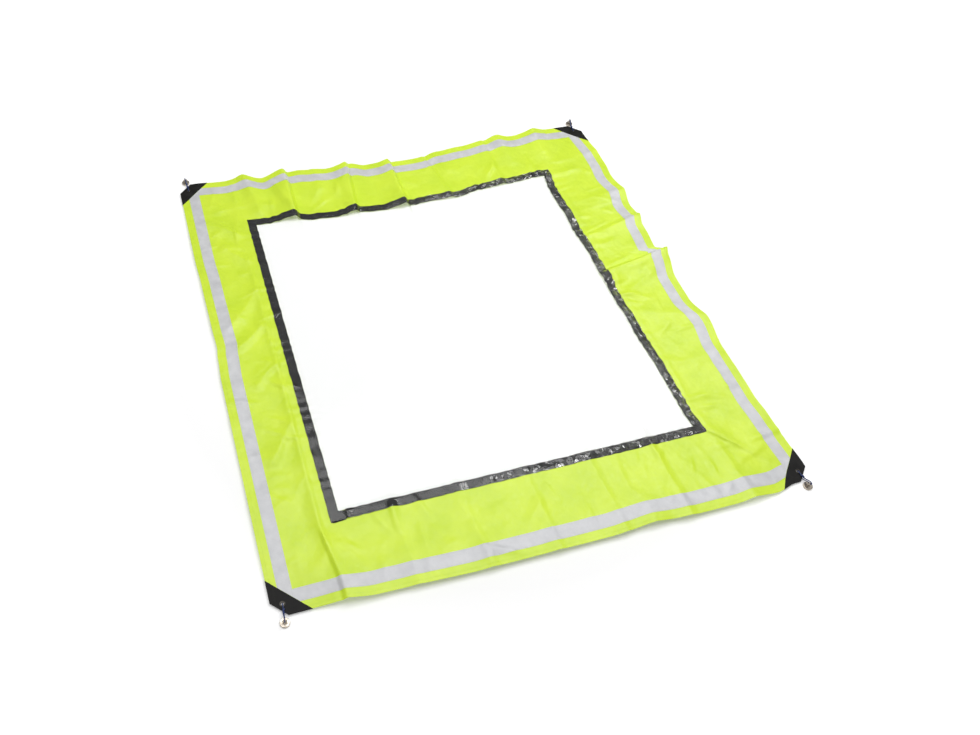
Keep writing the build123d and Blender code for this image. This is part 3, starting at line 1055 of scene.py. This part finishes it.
def add_stitches(name, rows, lift, finish):
    """Rows of short stitches, each a spindle of two rings. A row is a start and an end on the flat sheet."""
    centres, headings = [], []
    for start, end in rows:
        start, end = np.array(start), np.array(end)
        span = np.linalg.norm(end - start)
        count = max(1, int(span / stitch_pitch))
        places = (np.arange(count) + 0.5) / count
        centres.append(start + (end - start) * places[:, None])
        headings.append(np.repeat([(end - start) / span], count, axis=0))
    centres, headings = np.concatenate(centres), np.concatenate(headings)
    levels = lift(*centres.T)

    def at(share, rise):
        """Each stitch's point at a share of its length from its middle, raised a little."""
        place = centres + headings * stitch_length * share
        return laid(*place.T, levels + rise)

    tail, tip = at(-0.5, -0.0001), at(0.5, -0.0001)
    rings = []
    for share in (-0.3, 0.3):
        middle, above = at(share, 0.0), at(share, stitch_radius)
        up = above - middle
        side = np.cross(tip - tail, up)
        side *= stitch_radius / np.linalg.norm(side, axis=1)[:, None]
        rings += [middle + side, above, middle - side, middle - up]
    points = np.stack([tail, *rings, tip], axis=1).reshape(-1, 3)
    points_each = 2 + len(rings)
    faces = []
    for i in range(0, len(points), points_each):
        for j in range(4):
            k = (j + 1) % 4
            faces.append((i, i + 1 + k, i + 1 + j))
            faces.append((i + 1 + j, i + 1 + k, i + 5 + k, i + 5 + j))
            faces.append((i + 5 + j, i + 5 + k, i + 9))
    return add_object(name, points, faces, finish)


def hem_rows(side, end):
    """The one row along a hem, from patch to patch."""
    inset = hem_width - 0.004
    if side:
        x, y = side * (half_width - inset), half_depth - patch_leg + inset
        return [((x, -y), (x, y))]
    x, y = half_width - patch_leg + inset, end * (half_depth - inset)
    return [((-x, y), (x, y))]


def rows_between(side, end, ends):
    """A row along one side of the sheet for each (x, y) place, from its mirror image to it."""
    if side:
        return [((side * x, -y), (side * x, y)) for x, y in ends]
    return [((-x, end * y), (x, end * y)) for x, y in ends]


def tape_rows(side, end):
    """A row along either edge of a tape."""
    margin = 0.003
    if side:
        lines = (tape_outer[0] - margin, tape_inner[0] + margin)
        return rows_between(side, end, [(x, patch_line - x) for x in lines])
    y = tape_outer[1] - margin
    return rows_between(side, end, [(patch_line - y, y), (tape_inner[0] - margin, tape_inner[1] + margin)])


def band_rows(side, end):
    """A row along either edge of a band, which meets the other bands' rows at its ends."""
    outer = (band_outer[0] - seam_margin, band_outer[1] - seam_margin)
    inner = (band_inner[0] + seam_margin, band_inner[1] + seam_margin)
    return rows_between(side, end, [outer, inner])


def over_film(u, v):
    """The height of the threads that hold the film and the band."""
    return film_high(u, v) + 0.0001


sides = {
    "left": (-1, 0, left_cloth, left_tape, left_band),
    "right": (1, 0, right_cloth, right_tape, right_band),
    "front": (0, -1, front_cloth, front_tape, front_band),
    "back": (0, 1, back_cloth, back_tape, back_band),
}
for place, (side, end, cloth_piece, tape_piece, band_piece) in sides.items():
    hem = add_stitches(f"{place}_hem_stitches", hem_rows(side, end), above_cloth(0.0001), lime_thread)
    taped = add_stitches(f"{place}_tape_stitches", tape_rows(side, end), above_cloth(tape_thickness),
                         grey_thread)
    banded = add_stitches(f"{place}_band_stitches", band_rows(side, end), over_film, black_thread)
    pieces = [cloth_piece, tape_piece, band_piece, hem, taped, banded]
    for piece in pieces:
        if side:
            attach(piece, f"{place}_half")
        else:
            across_fold(piece)
    for piece, kind in ((cloth_piece, "panel"), (tape_piece, "tape"), (band_piece, "band")):
        if side:
            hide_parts(f"{place}_{kind}")
        else:
            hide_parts(f"{place}_{kind}_left", f"{place}_{kind}_right")

across_fold(film)
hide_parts("film_left", "film_right")

for name, side, end in corners:
    inset = 0.004
    along_leg = patch_leg - 2.4 * inset
    slant_start = (side * (half_width - along_leg), end * (half_depth - inset))
    slant_end = (side * (half_width - inset), end * (half_depth - along_leg))
    rows = [
        (slant_start, slant_end),
        (slant_start, (side * (half_width - tip_cut), end * (half_depth - inset))),
        (slant_end, (side * (half_width - inset), end * (half_depth - tip_cut))),
    ]
    sewn = add_stitches(f"{name}_patch_stitches", rows, above_cloth(patch_thickness), black_thread)
    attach(sewn, "left_half" if side < 0 else "right_half")


# ---------------------------------------------------------------- metal parts, as CAD made them

def finish_node(node, finish):
    """Gives a CAD node its material."""
    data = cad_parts[node].data
    data.materials.clear()
    data.materials.append(finish)


for side_name in ("left", "right"):
    finish_node(f"eyelets_{side_name}", dark_brass)
    finish_node(f"eyelet_washers_{side_name}", dark_brass)
for name, side, end in corners:
    finish_node(f"{name}_pot", nickel)
    finish_node(f"{name}_eye_bolt", nickel)
    finish_node(f"{name}_magnet", ferrite)


# ---------------------------------------------------------------- floor and light

def add_floor():
    """A wide, plain, nearly white floor that glows as painted light: a little under the sheet and more
    towards its far ends.
    """
    made, tree = new_material("studio_floor")
    away = add(tree, "VectorMath", links={0: object_place(tree)}, operation="LENGTH")
    # painted light: the floor's own glow, stronger the further it is from the middle
    lift = ramp(tree, away.outputs["Value"], 1.25, 2.3, 0.11, 0.50)
    values = {"Base Color": (0.88, 0.88, 0.88, 1), "Roughness": 0.9, "Specular IOR Level": 0.1,
              "Emission Color": (1, 1, 1, 1)}
    surface(tree, values, {"Emission Strength": lift})
    reach = 20.0
    points = [(-reach, -reach, 0), (reach, -reach, 0), (reach, reach, 0), (-reach, reach, 0)]
    data = bpy.data.meshes.new("floor")
    data.from_pydata(points, [], [(0, 1, 2, 3)])
    data.materials.append(made)
    ground = bpy.data.objects.new("floor", data)
    bpy.context.scene.collection.objects.link(ground)


def add_light(name, place, aim, size, power):
    """A soft area light."""
    data = bpy.data.lights.new(name, "AREA")
    data.shape = "RECTANGLE"
    data.size, data.size_y = size
    data.energy = power
    light = bpy.data.objects.new(name, data)
    light.location = place
    light.rotation_euler = (Vector(aim) - Vector(place)).to_track_quat("-Z", "Y").to_euler()
    bpy.context.scene.collection.objects.link(light)


def add_world():
    """Pale surroundings, bright at the walls and overhead, which fill the shadows."""
    world = bpy.data.worlds.new("studio")
    world.use_nodes = True
    tree = world.node_tree
    rise = add(tree, "SeparateXYZ", links={0: add(tree, "TexCoord").outputs["Generated"]})
    sky = ramp(tree, combined(tree, "POWER", rise.outputs["Z"], 2.0), first=0.10, last=0.82)
    walls = ramp(tree, rise.outputs["Z"], 0.0, 0.42, 0.64, 0.0)
    shade = tree.nodes["Background"]
    shade.inputs["Color"].default_value = (1.0, 1.0, 1.0, 1)
    tree.links.new(combined(tree, "ADD", sky, walls), shade.inputs["Strength"])
    bpy.context.scene.world = world


add_floor()
add_world()
add_light("overhead_softbox", (0.2, 0.45, 4.2), (0.2, 0.45, 0), (4.8, 3.4), 112.0)
add_light("glint_softbox", (2.8, 1.6, 4.2), (0.4, -0.2, 0), (1.35, 1.35), 52.0)
bpy.context.scene.view_settings.view_transform = "Standard"
